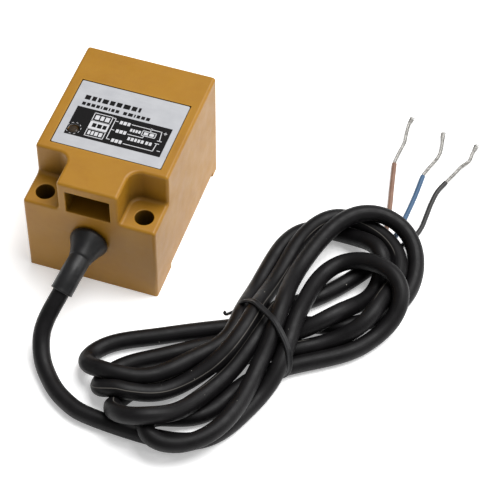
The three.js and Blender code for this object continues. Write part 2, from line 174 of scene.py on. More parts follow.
# Each wire: its slot's colour name, the insulated part from the jacket's end, then the bare strands.
WIRES = {
    "brown": (
        [(77.1, 13.4, 2.3), (75.9, 20, 1.3), (74.7, 27.4, 0.9), (73, 35.7, 0.8), (71.2, 44.8, 0.8)],
        [(71.4, 49.9, 0.9), (71.8, 54.2, 0.9), (71.4, 57.8, 0.9), (71.1, 62, 0.9), (71.4, 64.6, 0.9)],
    ),
    "blue": (
        [(79.3, 13.6, 2.3), (79.9, 20, 1.3), (80.3, 26.5, 0.9), (80.7, 34.3, 0.8), (80.8, 42.7, 0.8)],
        [(81.8, 46.8, 0.9), (83.1, 51, 0.9), (83.4, 53.6, 0.9), (82.9, 58, 0.9), (82.2, 61.7, 0.9)],
    ),
    "black": (
        [(82.3, 12.8, 2.3), (84.5, 17.5, 1.3), (85.8, 22.5, 0.9), (86, 27.5, 0.8), (86.1, 33, 0.8),
         (86.7, 38.4, 0.8), (88.1, 42.5, 0.8)],
        [(89.7, 46.6, 0.9), (91.1, 50.4, 0.9), (92.7, 53.2, 0.9), (92.9, 56.4, 0.9), (93.3, 60, 0.9)],
    ),
}


# ---- camera


def added(name, data):
    """An object that holds the data, put in the scene."""
    holder = bpy.data.objects.new(name, data)
    bpy.context.collection.objects.link(holder)
    return holder


def place_camera():
    """The camera, aimed by azimuth and elevation with a slight roll."""
    azimuth, elevation, roll = (math.radians(a) for a in (CAMERA_AZIMUTH, CAMERA_ELEVATION, CAMERA_ROLL))
    back = Vector((
        math.sin(azimuth) * math.cos(elevation),
        -math.cos(azimuth) * math.cos(elevation),
        math.sin(elevation)))
    level = Vector((math.cos(azimuth), math.sin(azimuth), 0))
    right = level * math.cos(roll) + back.cross(level) * math.sin(roll)
    up = back.cross(right)
    camera = added("camera", bpy.data.cameras.new("camera"))
    turn = Matrix((right, up, back)).transposed().to_4x4()
    camera.matrix_world = Matrix.Translation(Vector(CAMERA_PLACE) * MM) @ turn
    camera.data.lens = CAMERA_LENS
    camera.data.clip_start = 0.05
    camera.data.clip_end = 20
    bpy.context.scene.camera = camera


# ---- paths and sweeps


def lengths(path):
    """Distance along a path at each of its points."""
    steps = np.linalg.norm(np.diff(path, axis=0), axis=1)
    return np.concatenate([[0], np.cumsum(steps)])


def spaced(path, step):
    """The same path with points at an even step."""
    along = lengths(path)
    places = np.linspace(0, along[-1], max(2, round(along[-1] / step)) + 1)
    return np.stack([np.interp(places, along, path[:, k]) for k in range(3)], axis=1)


def mix(first, second, start, end, place):
    """Between two points, by where place lies from start to end."""
    return (first * (end - place) + second * (place - start)) / (end - start)


def smooth_path(points, step):
    """A centripetal Catmull-Rom curve through the points, at an even step."""
    given = np.array(points, float)
    ends = np.vstack([2 * given[0] - given[1], given, 2 * given[-1] - given[-2]])
    out = []
    for p0, p1, p2, p3 in zip(ends, ends[1:], ends[2:], ends[3:]):
        gaps = [math.sqrt(np.linalg.norm(b - a)) for a, b in ((p0, p1), (p1, p2), (p2, p3))]
        t0, t1, t2, t3 = np.cumsum([0] + gaps)
        for t in np.linspace(t1, t2, 24, endpoint=False):
            a1, a2, a3 = mix(p0, p1, t0, t1, t), mix(p1, p2, t1, t2, t), mix(p2, p3, t2, t3, t)
            out.append(mix(mix(a1, a2, t0, t2, t), mix(a2, a3, t1, t3, t), t1, t2, t))
    out.append(given[-1])
    return spaced(np.array(out), step)


def unit(vectors):
    """The same directions with a length of one."""
    return vectors / np.linalg.norm(vectors, axis=-1, keepdims=True)


def frames_along(path):
    """A tangent and two normals at each point, turning as little as possible from one to the next."""
    tangents = unit(np.gradient(path, axis=0))
    first = np.cross(tangents[0], (0, 0, 1))
    if np.linalg.norm(first) < 0.1:
        first = np.cross(tangents[0], (1, 0, 0))
    sides = [unit(first)]
    for tangent in tangents[1:]:
        sides.append(unit(sides[-1] - tangent * np.dot(sides[-1], tangent)))
    sides = np.array(sides)
    return tangents, sides, np.cross(tangents, sides)


def new_piece(name, vertices, faces, material, smooth=True, coordinates=None):
    """A mesh object from points in mm, riding on the sensor's one body."""
    mesh = bpy.data.meshes.new(name)
    mesh.from_pydata((np.array(vertices) * MM).tolist(), [], faces)
    if coordinates is not None:
        layer = mesh.uv_layers.new(name="along")
        layer.data.foreach_set("uv", np.array(coordinates, float).ravel())
    mesh.polygons.foreach_set("use_smooth", [smooth] * len(mesh.polygons))
    mesh.validate()
    mesh.update()
    piece = added(name, mesh)
    mesh.materials.append(material)
    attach(piece, "root")
    return piece


@contextmanager
def edited(mesh):
    """The mesh opened for editing, and written back afterwards."""
    shaped = bmesh.new()
    shaped.from_mesh(mesh)
    yield shaped
    shaped.to_mesh(mesh)
    shaped.free()


def tube_faces(rings, sides, base=0):
    """The faces between rings of points that follow each other."""
    faces = []
    for row in range(base, base + (rings - 1) * sides, sides):
        for j in range(sides):
            k = (j + 1) % sides
            faces.append((row + j, row + k, row + sides + k, row + sides + j))
    return faces


def end_faces(rings, sides, base=0):
    """One flat face over each end of a tube."""
    last = base + (rings - 1) * sides
    return [tuple(reversed(range(base, base + sides))), tuple(range(last, last + sides))]


def sleeve(name, path, stations, sides, material):
    """A skin round a path. Each station is a distance along the path and a radius there; the first and last
    have no radius, or are the same ring, which closes it. The skin may turn back inside itself, for a lip."""
    along = lengths(path)
    _, side, other = frames_along(path)
    stations = np.array(stations, float)

    def at(values):
        return np.stack([np.interp(stations[:, 0], along, values[:, k]) for k in range(3)], axis=1)

    turn = np.linspace(0, 2 * math.pi, sides, endpoint=False)[None, :, None]
    rings = at(side)[:, None] * np.cos(turn) + at(other)[:, None] * np.sin(turn)
    vertices = (at(path)[:, None] + rings * stations[:, 1][:, None, None]).reshape(-1, 3)
    coordinates = []
    for start, end in zip(stations[:, 0], stations[1:, 0]):
        for j in range(sides):
            left, right = j / sides, (j + 1) / sides
            coordinates += [(left, start), (right, start), (right, end), (left, end)]
    faces = tube_faces(len(stations), sides)
    piece = new_piece(name, vertices, faces, material, coordinates=coordinates)
    with edited(piece.data) as shaped:
        bmesh.ops.remove_doubles(shaped, verts=shaped.verts, dist=WELD * MM)
        bmesh.ops.recalc_face_normals(shaped, faces=shaped.faces)
    return piece


def tube_stations(path, radius, round_end=0.25):
    """Stations for a plain tube with slightly rounded ends."""
    along = lengths(path)
    inner = along[(along > round_end * 1.5) & (along < along[-1] - round_end * 1.5)]
    chamfer = round_end * 0.3
    start = [(0, 0), (0, radius - round_end), (chamfer, radius - chamfer), (round_end, radius)]
    end = [(along[-1] - s, r) for s, r in reversed(start)]
    return start + [(s, radius) for s in inner] + end


# ---- settling the coil

# The cable is a row of points with this step. The first of them, up to the first lobe, are held in place.
STRAND_STEP = 2.2
HELD_POINTS = 43

# Bends tighter than these radii are opened out: in the folds to the left of FOLDS_END, and in the lobes.
FOLD_BEND = 4.6
LOBE_BEND = 8.0
FOLDS_END = 40

# The ground under the loose wires, and how far they lift a strand that crosses them.
WIRES_LEFT = 71
WIRES_RIGHT = 90
WIRES_FRONT = 9
WIRES_LIFT = 2.4 * WIRE_RADIUS

# Points push each other apart only if they are PAIR_POINTS or more from each other along the cable. The
# pairs within PAIR_MARGIN of touching are found anew after every PAIRING_STEPS. PUSH is the share of an
# overlap that each point of a pair moves.
PAIRING_STEPS = 10
PAIR_MARGIN = 3
PAIR_POINTS = 5
PUSH = 0.3

# The coil drops, then its small waves are smoothed away without shrinking it, and last it is left to rest.
SETTLING_STEPS = 260
SMOOTHING_STEPS = 30
SMOOTHING = (0.6, -0.63) * 4
LAST_STEPS = 10
ACROSS_PULL = 0.12
ALONG_PULL = 0.01
FALL = 0.03
STIFFNESS = 0.35


def ground_under(points):
    """The lowest a strand's centre may lie: on the ground, or on the loose wires where it crosses them."""
    x, y = points[:, 0], points[:, 1]
    over_wires = (x > WIRES_LEFT) & (x < WIRES_RIGHT) & (y > WIRES_FRONT)
    return np.where(over_wires, CABLE_RADIUS + WIRES_LIFT, CABLE_RADIUS)


def halfway(points):
    """From each point to the middle of its two neighbours."""
    out = np.zeros_like(points)
    out[1:-1] = 0.5 * (points[:-2] + points[2:]) - points[1:-1]
    return out


def opened_bends(points):
    """Moves that open out tight bends: the folds on the left may be tighter than the lobes on the right."""
    tightest = np.where(points[:, 0] < FOLDS_END, FOLD_BEND, LOBE_BEND)
    most = STRAND_STEP**2 / (2 * tightest)
    inward = halfway(points)
    size = np.linalg.norm(inward, axis=1) + TINY
    excess = inward * (np.clip(size - most, 0, None) / size)[:, None]
    moves = 0.5 * excess
    moves[:-1] -= 0.25 * excess[1:]
    moves[1:] -= 0.25 * excess[:-1]
    return moves


def pushed_apart(points, pairs, free):
    """Strands that run into each other are moved apart until they touch, and none sinks into the ground."""
    i, j = pairs
    for _ in range(3):
        between = points[i] - points[j]
        size = np.linalg.norm(between, axis=1) + TINY
        push = between * (np.clip(2 * CABLE_RADIUS - size, 0, None) * PUSH / size)[:, None]
        moves = np.zeros_like(points)
        for k in range(3):
            moves[:, k] += np.bincount(i, push[:, k], len(points))
            moves[:, k] -= np.bincount(j, push[:, k], len(points))
        points[free] += moves[free]
        points[:, 2] = np.maximum(points[:, 2], ground_under(points))
    return points


def coil_route():
    """The cable's turns before they settle: round each lobe's end, then along its strand to the next lobe."""
    route = []
    for (x, y), radius, (first, last), heights, strand in LOBES:
        steps = math.ceil(abs(last - first) / ARC_STEP)
        for share in np.linspace(0, 1, steps + 1):
            angle = math.radians(first + (last - first) * share)
            height = float(np.interp(share, (0, 0.5, 1), heights))
            route.append((x + radius * math.cos(angle), y + radius * math.sin(angle), height))
        route += strand
    return route + LAST_STRAND


def settled(route):
    """The cable's centre line after its turns have dropped onto the ground and onto each other.

    A point that drops or is lifted keeps its place as seen from the camera; across that line of sight it is
    drawn back to where the route has it. The cable is stiff: its neighbours move with it.
    """
    home = spaced(smooth_path(route, 0.5), STRAND_STEP)
    points = home.copy()
    free = np.arange(len(points)) >= HELD_POINTS
    sight = unit(np.array(CAMERA_PLACE) - points)
    for step in range(SETTLING_STEPS):
        if step % PAIRING_STEPS == 0:
            apart = np.linalg.norm(points[:, None] - points[None], axis=2)
            pairs = np.where(np.triu(apart < 2 * CABLE_RADIUS + PAIR_MARGIN, PAIR_POINTS))
        moved = points - home
        along = (moved * sight).sum(axis=1)[:, None] * sight
        moved = moved - ACROSS_PULL * (moved - along) - ALONG_PULL * along - FALL * sight
        moved += STIFFNESS * halfway(moved)
        points[free] = (home + moved)[free]
        points[free] += opened_bends(points)[free]
        points = pushed_apart(points, pairs, free)
    for step in range(SMOOTHING_STEPS + LAST_STEPS):
        if step < SMOOTHING_STEPS:
            for amount in SMOOTHING:
                points[free] += amount * halfway(points)[free]
        points[free] += opened_bends(points)[free]
        points = pushed_apart(points, pairs, free)
    return points


# ---- materials


def tone(red, green, blue):
    """A colour as seen on a screen, 0 to 255, as the linear values a shader takes."""
    out = []
    for value in (red, green, blue):
        share = value / 255
        out.append(share / 12.92 if share <= 0.04045 else ((share + 0.055) / 1.055) ** 2.4)
    return (*out, 1)


class Finish:
    """One material under construction, with a short call for each kind of node it needs."""

    def __init__(self, name, **sockets):
        self.material = bpy.data.materials.new(name)
        self.material.use_nodes = True
        self.nodes = self.material.node_tree.nodes
        self.links = self.material.node_tree.links
        self.shader = self.nodes["Principled BSDF"]
        for socket, value in sockets.items():
            self.shader.inputs[socket.replace("_", " ")].default_value = value

    def node(self, kind, inputs=None, **settings):
        node = self.nodes.new("ShaderNode" + kind)
        for key, value in settings.items():
            setattr(node, key, value)
        for key, value in (inputs or {}).items():
            if isinstance(value, bpy.types.NodeSocket):
                self.links.new(value, node.inputs[key])
            else:
                node.inputs[key].default_value = value
        return node

    def place(self, size_mm, stretch=(1, 1, 1)):
        """Object coordinates scaled so that one unit is size_mm."""
        source = self.node("TexCoord").outputs["Object"]
        scale = [s / (size_mm * MM) for s in stretch]
        return self.node("Mapping", {"Vector": source, "Scale": scale}).outputs["Vector"]

    def texture(self, kind, output, size_mm, stretch=(1, 1, 1), inputs=None, **settings):
        """A pattern of one kind, whose features are about size_mm."""
        given = {"Vector": self.place(size_mm, stretch), "Scale": 1.0, **(inputs or {})}
        return self.node("Tex" + kind, given, **settings).outputs[output]

    def noise(self, size_mm, detail=3.0, stretch=(1, 1, 1), distortion=0.0):
        return self.texture("Noise", "Fac", size_mm, stretch, {"Detail": detail, "Distortion": distortion})

    def cells(self, size_mm):
        return self.texture("Voronoi", "Distance", size_mm, feature="F1")

    def wave(self, size_mm, direction="X", distortion=0.0):
        return self.texture("Wave", "Fac", size_mm, inputs={"Distortion": distortion},
                            wave_type="BANDS", bands_direction=direction)

    def blend(self, factor, first, second):
        """Colour that goes from first to second with the factor."""
        node = self.node("Mix", data_type="RGBA")
        for socket, value in zip((node.inputs[0], node.inputs[6], node.inputs[7]), (factor, first, second)):
            if isinstance(value, bpy.types.NodeSocket):
                self.links.new(value, socket)
            else:
                socket.default_value = value
        return node.outputs[2]

    def spread(self, value, low, high, to_low=0.0, to_high=1.0):
        """The value stretched from one range to another, and kept inside it."""
        node = self.node("MapRange", {
            "Value": value, "From Min": low, "From Max": high, "To Min": to_low, "To Max": to_high})
        return node.outputs["Result"]

    def clouds(self, first, second, size_mm, detail, low=0.3, high=0.7):
        """Colour that drifts between two tones."""
        return self.blend(self.spread(self.noise(size_mm, detail), low, high), first, second)

    def openness(self, reach_mm, inside=False):
        """1 where the surface is open, less in hollows; with inside, 1 on a flat face and less at an edge."""
        node = self.node("AmbientOcclusion", {"Distance": reach_mm * MM}, samples=8,
                         only_local=True, inside=inside)
        return node.outputs["AO"]

    def calc(self, operation, first, second=0.0):
        return self.node("Math", {0: first, 1: second}, operation=operation).outputs[0]

    def colour(self, value):
        self.links.new(value, self.shader.inputs["Base Color"])

    def roughness(self, value, low, high):
        self.links.new(self.spread(value, 0.3, 0.7, low, high), self.shader.inputs["Roughness"])

    def bump(self, height, depth_mm):
        """Adds a relief to the surface, on top of any relief already there."""
        before = self.shader.inputs["Normal"].links
        inputs = {"Height": height, "Distance": depth_mm * MM, "Strength": 1.0}
        if before:
            inputs["Normal"] = before[0].from_socket
        node = self.node("Bump", inputs)
        self.links.new(node.outputs["Normal"], self.shader.inputs["Normal"])


def plain(name, colour, shade, clouds, gloss, grain, **sockets):
    """A finish whose colour drifts between two tones, with uneven gloss and a fine grain.

    clouds is the drift's size and detail; gloss the same of the gloss, then its lowest and highest
    roughness; grain the same of the relief, then its depth in mm.
    """
    finish = Finish(name, **sockets)
    finish.colour(finish.clouds(colour, shade, *clouds))
    finish.roughness(finish.noise(*gloss[:2]), *gloss[2:])
    finish.bump(finish.noise(*grain[:2]), grain[2])
    return finish


def moulded(name, colour, shade, rough=(0.42, 0.52), grain_mm=0.35, relief_mm=0.006, **sockets):
    """Moulded plastic: slow colour drift, uneven gloss, a fine grain and a slow wave."""
    finish = plain(name, colour, shade, (9, 4), (3.5, 3, *rough), (grain_mm, 3, relief_mm), **sockets)
    finish.bump(finish.noise(14, 2), 0.05)
    return finish.material


def housing_plastic():
    """Mustard moulded plastic, slightly waxy, with flow marks, a painted highlight along its rounded edges
    and painted shade in its hollows, stronger on faces that do not look up.
    """
    finish = Finish("housing_plastic", Subsurface_Weight=0.06, Subsurface_Radius=(0.9, 0.5, 0.2),
                    Subsurface_Scale=0.001, Specular_IOR_Level=0.36)
    flow = finish.noise(16, 3, distortion=0.6)
    base = finish.blend(finish.spread(flow, 0.35, 0.65), tone(150, 105, 14), tone(143, 98, 12))
    mottle = finish.noise(2.2, 4)
    base = finish.blend(finish.spread(mottle, 0.35, 0.75, 0, 0.35), base, tone(155, 110, 19))
    # Painted highlight: a lighter tone along the rounded edges, where light catches them.
    painted_edge_highlight = finish.spread(finish.openness(1.2, inside=True), 0.5, 0.85, 0.6, 0)
    base = finish.blend(painted_edge_highlight, base, tone(167, 122, 34))
    # Painted shade: darker in the recesses and holes, and more on faces that do not look up than on those
    # that do, towards a dark shade tone.
    painted_hollow_shade = finish.spread(finish.openness(10), 0.3, 0.95, 1.0, 0)
    normal = finish.node("NewGeometry").outputs["True Normal"]
    facing_up = finish.node("SeparateXYZ", {"Vector": normal}).outputs["Z"]
    depth = finish.spread(facing_up, 0.1, 0.9, 0.82, 0.3)
    finish.colour(finish.blend(finish.calc("MULTIPLY", painted_hollow_shade, depth), base, tone(46, 33, 6)))
    finish.roughness(finish.noise(5, 3), 0.40, 0.50)
    finish.bump(finish.noise(0.3, 3), 0.008)
    finish.bump(finish.noise(11, 2), 0.06)
    return finish.material


def rubber(name, colour, rough, specular, grain_mm=0.25):
    """Dark rubber or PVC: a fine skin, broad uneven gloss and a few pale specks of dust."""
    finish = Finish(name, Specular_IOR_Level=specular)
    light = tuple(c * 1.9 for c in colour[:3]) + (1,)
    base = finish.clouds(colour, light, 4, 3, 0.35, 0.75)
    dot = finish.spread(finish.cells(3.1), 0.035, 0.055, 1, 0)
    few = finish.spread(finish.noise(5.5, 1), 0.56, 0.6, 0, 1)
    finish.colour(finish.blend(finish.calc("MULTIPLY", dot, few), base, tone(150, 146, 138)))
    finish.roughness(finish.noise(2.5, 3), *rough)
    finish.bump(finish.noise(grain_mm, 3), 0.01)
    return finish


def cable_jacket():
    """The cable's PVC, with drawn lines along it and here and there a paler scuff."""
    finish = rubber("cable_jacket", tone(11, 10, 11), (0.40, 0.54), 0.17)
    along = finish.node("UVMap", uv_map="along").outputs["UV"]
    parts = finish.node("SeparateXYZ", {"Vector": along})
    across, distance = parts.outputs["X"], parts.outputs["Y"]
    drawn = finish.node("CombineXYZ", {
        "X": finish.calc("MULTIPLY", across, 26.0), "Y": finish.calc("MULTIPLY", distance, 0.012)})
    relief = finish.node("TexNoise", {"Vector": drawn.outputs[0], "Scale": 1.0, "Detail": 2.0},
                         noise_dimensions="2D").outputs["Fac"]
    finish.bump(relief, 0.035)
    centre = finish.spread(finish.noise(40, 1), 0.3, 0.7, 0.30, 0.36)
    offset = finish.calc("ABSOLUTE", finish.calc("SUBTRACT", across, centre))
    line = finish.spread(offset, 0.004, 0.011, 1, 0)
    present = finish.spread(finish.noise(23, 2), 0.5, 0.56, 0, 0.5)
    base = finish.shader.inputs["Base Color"].links[0].from_socket
    finish.colour(finish.blend(finish.calc("MULTIPLY", line, present), base, tone(120, 116, 110)))
    return finish.material


def insulation(name, colour, shade):
    """Wire insulation: smooth PVC with faint clouds of colour and a soft gloss."""
    return plain(name, colour, shade, (3, 3), (1.2, 2, 0.38, 0.52), (0.4, 3, 0.01),
                 Specular_IOR_Level=0.4).material


def metal(name, colour, shade, rough, grain_mm=0.4):
    """Metal with a fine grain and slightly uneven tarnish."""
    return plain(name, colour, shade, (1.6, 4), (grain_mm, 3, *rough), (grain_mm, 3, 0.004),
                 Metallic=1.0).material


def nameplate_foil():
    """Satin silver foil with a fine grain across the plate."""
    finish = Finish("nameplate_foil", Metallic=0.25, Specular_IOR_Level=0.5)
    finish.colour(finish.clouds(tone(174, 175, 178), tone(164, 165, 169), 5, 4))
    brushed = finish.noise(0.5, 3, (0.08, 1, 1))
    finish.roughness(brushed, 0.40, 0.54)
    finish.bump(brushed, 0.004)
    return finish.material


def print_ink(name, colour, shade):
    """A flat printed ink with a trace of the foil's grain."""
    return plain(name, colour, shade, (0.7, 4, 0.35, 0.75), (1.0, 3, 0.45, 0.6), (0.2, 2, 0.002),
                 Specular_IOR_Level=0.12).material


def lens_plastic():
    """Dark amber light guide."""
    return plain("lens_plastic", tone(42, 30, 12), tone(58, 40, 14), (0.8, 3), (0.6, 2, 0.18, 0.3),
                 (0.5, 2, 0.01), Transmission_Weight=0.35, IOR=1.49, Coat_Weight=0.3).material


def ferrite():
    """Pressed ferrite: grey-black, matt and slightly sandy, with small chips."""
    finish = plain("ferrite", tone(52, 51, 54), tone(72, 71, 73), (0.5, 5), (1.0, 3, 0.6, 0.8),
                   (0.18, 4, 0.03), Specular_IOR_Level=0.3)
    finish.bump(finish.spread(finish.cells(0.9), 0.0, 0.25, 0, 1), 0.01)
    return finish.material


def coil_copper():
    """Enamelled copper wire laid turn by turn."""
    finish = Finish("coil_copper", Metallic=0.85, Coat_Weight=0.6, Coat_Roughness=0.2)
    turns = finish.wave(0.9, "Y", 0.4)
    finish.colour(finish.blend(turns, tone(112, 52, 20), tone(196, 112, 58)))
    finish.roughness(finish.noise(0.6, 3), 0.25, 0.4)
    finish.bump(turns, 0.08)
    return finish.material


def potting():
    """Dark casting resin with a skin of small bubbles and a slow wave."""
    finish = Finish("potting", Specular_IOR_Level=0.5)
    finish.colour(finish.clouds(tone(36, 31, 28), tone(54, 47, 41), 4, 4))
    finish.roughness(finish.noise(3, 3), 0.22, 0.45)
    finish.bump(finish.spread(finish.cells(1.7), 0.0, 0.12, 0, 1), 0.08)
    finish.bump(finish.noise(8, 2), 0.2)
    return finish.material


def board_laminate():
    """Green solder mask over a woven laminate, with tracks just showing through."""
    finish = Finish("board_laminate", Coat_Weight=0.25, Coat_Roughness=0.25)
    weave = finish.calc("MULTIPLY", finish.wave(0.6, "X"), finish.wave(0.6, "Y"))
    tracks = finish.spread(finish.wave(6.3, "X", 5.0), 0.86, 0.9, 0, 0.6)
    base = finish.blend(finish.spread(weave, 0, 1), tone(24, 92, 48), tone(30, 104, 56))
    finish.colour(finish.blend(tracks, base, tone(50, 134, 76)))
    finish.roughness(finish.noise(1.5, 3), 0.3, 0.45)
    finish.bump(weave, 0.02)
    finish.bump(tracks, 0.03)
    return finish.material


def banded(name, colour, shade, band, size_mm, rough=(0.3, 0.45), **sockets):
    """A small part in one colour with a darker or lighter band across it."""
    finish = Finish(name, **sockets)
    base = finish.clouds(colour, shade, 0.7, 3)
    stripe = finish.spread(finish.wave(size_mm, "X", 0.2), 0.8, 0.86)
    finish.colour(finish.blend(stripe, base, band))
    finish.roughness(finish.noise(0.5, 2), *rough)
    finish.bump(finish.noise(0.15, 3), 0.006)
    return finish.material


def inner_finishes():
    """Finishes of the inner parts, the nameplate and the wires, by material slot."""
    finishes = {
        "coil_copper": coil_copper(),
        "board_laminate": board_laminate(),
        "ferrite": ferrite(),
        "lens_plastic": lens_plastic(),
        "nameplate_foil": nameplate_foil(),
        "potting": potting(),
        "led_resin": moulded("led_resin", tone(242, 236, 214), tone(228, 214, 170), (0.15, 0.3), 0.3, 0.004,
                             Transmission_Weight=0.3),
        "capacitor_sleeve": banded("capacitor_sleeve", tone(34, 44, 76), tone(28, 36, 64),
                                   tone(186, 190, 200), 9.0, Coat_Weight=0.4),
        "diode_glass": banded("diode_glass", tone(92, 52, 34), tone(70, 38, 24), tone(24, 22, 22), 2.4,
                              (0.1, 0.22), Coat_Weight=0.6),
    }
    for slot, make, colour, shade, *rest in (
            ("cover_plastic", moulded, (168, 122, 44), (158, 112, 38)),
            ("bobbin_plastic", moulded, (228, 222, 206), (214, 207, 188)),
            ("chip_plastic", moulded, (30, 30, 32), (40, 40, 42), (0.5, 0.65), 0.12, 0.01),
            ("trimmer_plastic", moulded, (40, 74, 156), (34, 62, 138), (0.35, 0.5)),
            ("ceramic_capacitor", banded, (186, 156, 110), (172, 140, 92), tone(190, 190, 186), 3.2),
            ("resistor_body", banded, (34, 34, 36), (44, 44, 46), tone(186, 186, 182), 3.2),
            ("clamp_metal", metal, (196, 197, 200), (176, 177, 181), (0.25, 0.4)),
            ("brown_insulation", insulation, (130, 100, 84), (116, 86, 70)),
            ("blue_insulation", insulation, (60, 90, 120), (48, 78, 108)),
            ("black_insulation", insulation, (36, 35, 34), (30, 29, 29))):
        finishes[slot] = make(slot, tone(*colour), tone(*shade), *rest)
    return finishes


# The finish of each CAD part that stays.
NODE_SLOTS = {
    "base_cover": "cover_plastic",
    "nameplate": "nameplate_foil",
    "indicator_lens": "lens_plastic",
    "potting_resin": "potting",
    "ferrite_core": "ferrite",
    "coil_bobbin": "bobbin_plastic",
    "coil_winding": "coil_copper",
    "circuit_board": "board_laminate",
    "oscillator_chip": "chip_plastic",
    "output_transistor": "chip_plastic",
    "indicator_led": "led_resin",
    "sensitivity_trimmer": "trimmer_plastic",
    "filter_capacitor": "ceramic_capacitor",
    "protection_diode": "diode_glass",
    "supply_capacitor": "capacitor_sleeve",
    "cable_clamp": "clamp_metal",
    "coil_lead_start": "coil_copper",
    "coil_lead_finish": "coil_copper",
    **{f"resistor_{number}": "resistor_body" for number in (1, 2, 3)},
    **{f"inner_lead_{colour}": f"{colour}_insulation" for colour in WIRES},
}


def finish_frame(finishes):
    """Gives every CAD part that stays its own finish."""
    for name, slot in NODE_SLOTS.items():
        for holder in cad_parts[name].material_slots:
            holder.material = finishes[slot]


# ---- cable


def make_cable(finish):
    """The cable from inside the housing to the end of its jacket, with its turns settled."""
    path = smooth_path(settled(LEAD + coil_route()), 1.1)
    piece = sleeve("cable", path, tube_stations(path, CABLE_RADIUS), 22, finish)
    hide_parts("cable_lead", "cable_hank")
    return piece, path


def make_strand_path(path, turn_start):
    """One strand of a twisted conductor, winding round the wire's centre line."""
    along = lengths(path)
    _, side, other = frames_along(path)
    turn = turn_start + along * 2 * math.pi / STRAND_LAY
    splay = np.clip((along - along[-1] + SPLAY_LENGTH) / SPLAY_LENGTH, 0, 1)
    radius = 2 * STRAND_RADIUS * (1 + 0.9 * splay)
    return path + (side * np.cos(turn)[:, None] + other * np.sin(turn)[:, None]) * radius[:, None]


def make_conductor(name, points, finish):
    """Bare tinned strands: one in the middle and six twisted round it, splayed a little at the tip."""
    path = smooth_path(points, 0.35)
    vertices, faces = [], []
    for line in [path] + [make_strand_path(path, k * math.pi / 3) for k in range(6)]:
        _, side, other = frames_along(line)
        base = len(vertices)
        for centre, u, v in zip(line, side, other):
            for j in range(STRAND_SIDES):
                angle = 2 * math.pi * j / STRAND_SIDES
                vertices.append(centre + (u * math.cos(angle) + v * math.sin(angle)) * STRAND_RADIUS)
        faces += tube_faces(len(line), STRAND_SIDES, base) + end_faces(len(line), STRAND_SIDES, base)
    piece = new_piece(f"{name}_strands", vertices, faces, finish)
    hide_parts(f"{name}_conductor")
    return piece


def make_wires(cable_path, finishes):
    """The three wires that leave the jacket's end, each a short cord with bare strands on its end."""
    end = cable_path[-1]
    onward = unit(cable_path[-1] - cable_path[-4])
    across = np.array([onward[1], -onward[0], 0])
    starts = {"brown": -across * WIRE_SPREAD, "blue": np.zeros(3), "black": across * WIRE_SPREAD}
    strands = metal("tinned_strands", tone(178, 176, 172), tone(128, 126, 122), (0.3, 0.5), 0.25)
    for name, (insulated, bare) in WIRES.items():
        start = end + starts[name] + onward * 0.1
        path = smooth_path([start, start + onward * 1.6] + insulated, 0.6)
        slot = f"{name}_insulation"
        wire = sleeve(f"{name}_lead", path, tube_stations(path, WIRE_RADIUS, 0.12), 14, finishes[slot])
        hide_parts(f"{name}_wire")
        tip = unit(path[-1] - path[-3])
        conductor = make_conductor(name, [path[-1] - tip * 0.8, path[-1] + tip * 0.4] + bare, strands)


def make_strain_relief(finish):
    """The rubber boot: a flared collar at the housing, a step, and a drooping tail with an open lip."""
    route = [(0, -BOOT_START, CABLE_HEIGHT), (0, -BOOT_START - 2, CABLE_HEIGHT)] + LEAD[2:8]
    face = HALF_LENGTH - BOOT_START + 0.3
    bore = CABLE_RADIUS + 0.15
    collar = [(0.3, bore), (0.3, BOOT_ROOT), (face - 0.4, BOOT_ROOT)]
    collar += [(face + s, radius) for s, radius in (
        (0, 4.4), (0, 5.2), (0.15, 5.5), (0.5, 5.68), (1.0, 5.66), (1.5, 5.5), (3, 4.75), (5, 3.95),
        (6.4, 3.52), (6.9, 3.44), (7.0, 3.38), (7.1, 3.26), (7.6, BOOT_TAIL))]
    rings = [(face + s, BOOT_TAIL + 0.015 * math.sin(1.3 * s))
             for s in np.arange(8.2, BOOT_LENGTH - face - 0.6, 0.6)]
    lip = [(BOOT_LENGTH - s, radius) for s, radius in (
        (0.5, 3.3), (0.2, 3.34), (0, 3.2), (0, 2.95), (0.2, 2.82), (1.2, 2.74), (2.5, bore))]
    stations = collar + rings + lip + [(0.3, bore)]
    piece = sleeve("boot", smooth_path(route, 0.5), stations, 36, finish)
    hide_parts("strain_relief")
    return piece


# ---- tie

TIE_WIDTH = 1.9
TIE_THICKNESS = 0.85
TIE_CLEARANCE = 0.5
TIE_MIDDLE = (55, -35, 3)

# Where the tie crosses the coil on the ground plan, its two ends tucked under, and its free tail.
TIE_LINE = [(46, -27), (48, -27.4), (50.4, -28.6), (53.6, -30.7), (57.2, -33.3), (60.5, -36.1),
            (63.2, -38.9), (64.6, -41)]
TIE_FIRST_END = [(46.4, -25, 1.6), (45.1, -25, 3.4), (44.8, -25.8, 5.6)]
TIE_LAST_END = [(65.2, -42.6, 7.6), (64.8, -43.4, 5), (63.4, -43.7, 2.8), (61.8, -43, 1.6)]
TIE_TAIL = [(46.5, -26.2, 5.4), (44.3, -27.9, 5.6), (42.9, -29, 5.2), (42, -29.7, 5.2), (41.5, -29.5, 5.5),
            (41.8, -29, 5.6)]


def surface_height(place, strands):
    """Height of the highest strand over a point of the ground, or 0 where there is none."""
    away = np.linalg.norm(strands[:, :2] - place, axis=1)
    near = away < CABLE_RADIUS * 0.98
    if not near.any():
        return 0.0
    return float((strands[near, 2] + np.sqrt(CABLE_RADIUS**2 - away[near] ** 2)).max())


def taut_over(distance, height):
    """The heights of a taut line laid over a profile: its upper hull."""
    hull = []
    for point in zip(distance, height):
        while len(hull) > 1:
            (x0, y0), (x1, y1) = hull[-2:]
            if (x1 - x0) * (point[1] - y0) - (y1 - y0) * (point[0] - x0) < 0:
                break
            hull.pop()
        hull.append(point)
    xs, ys = zip(*hull)
    return np.interp(distance, xs, ys)


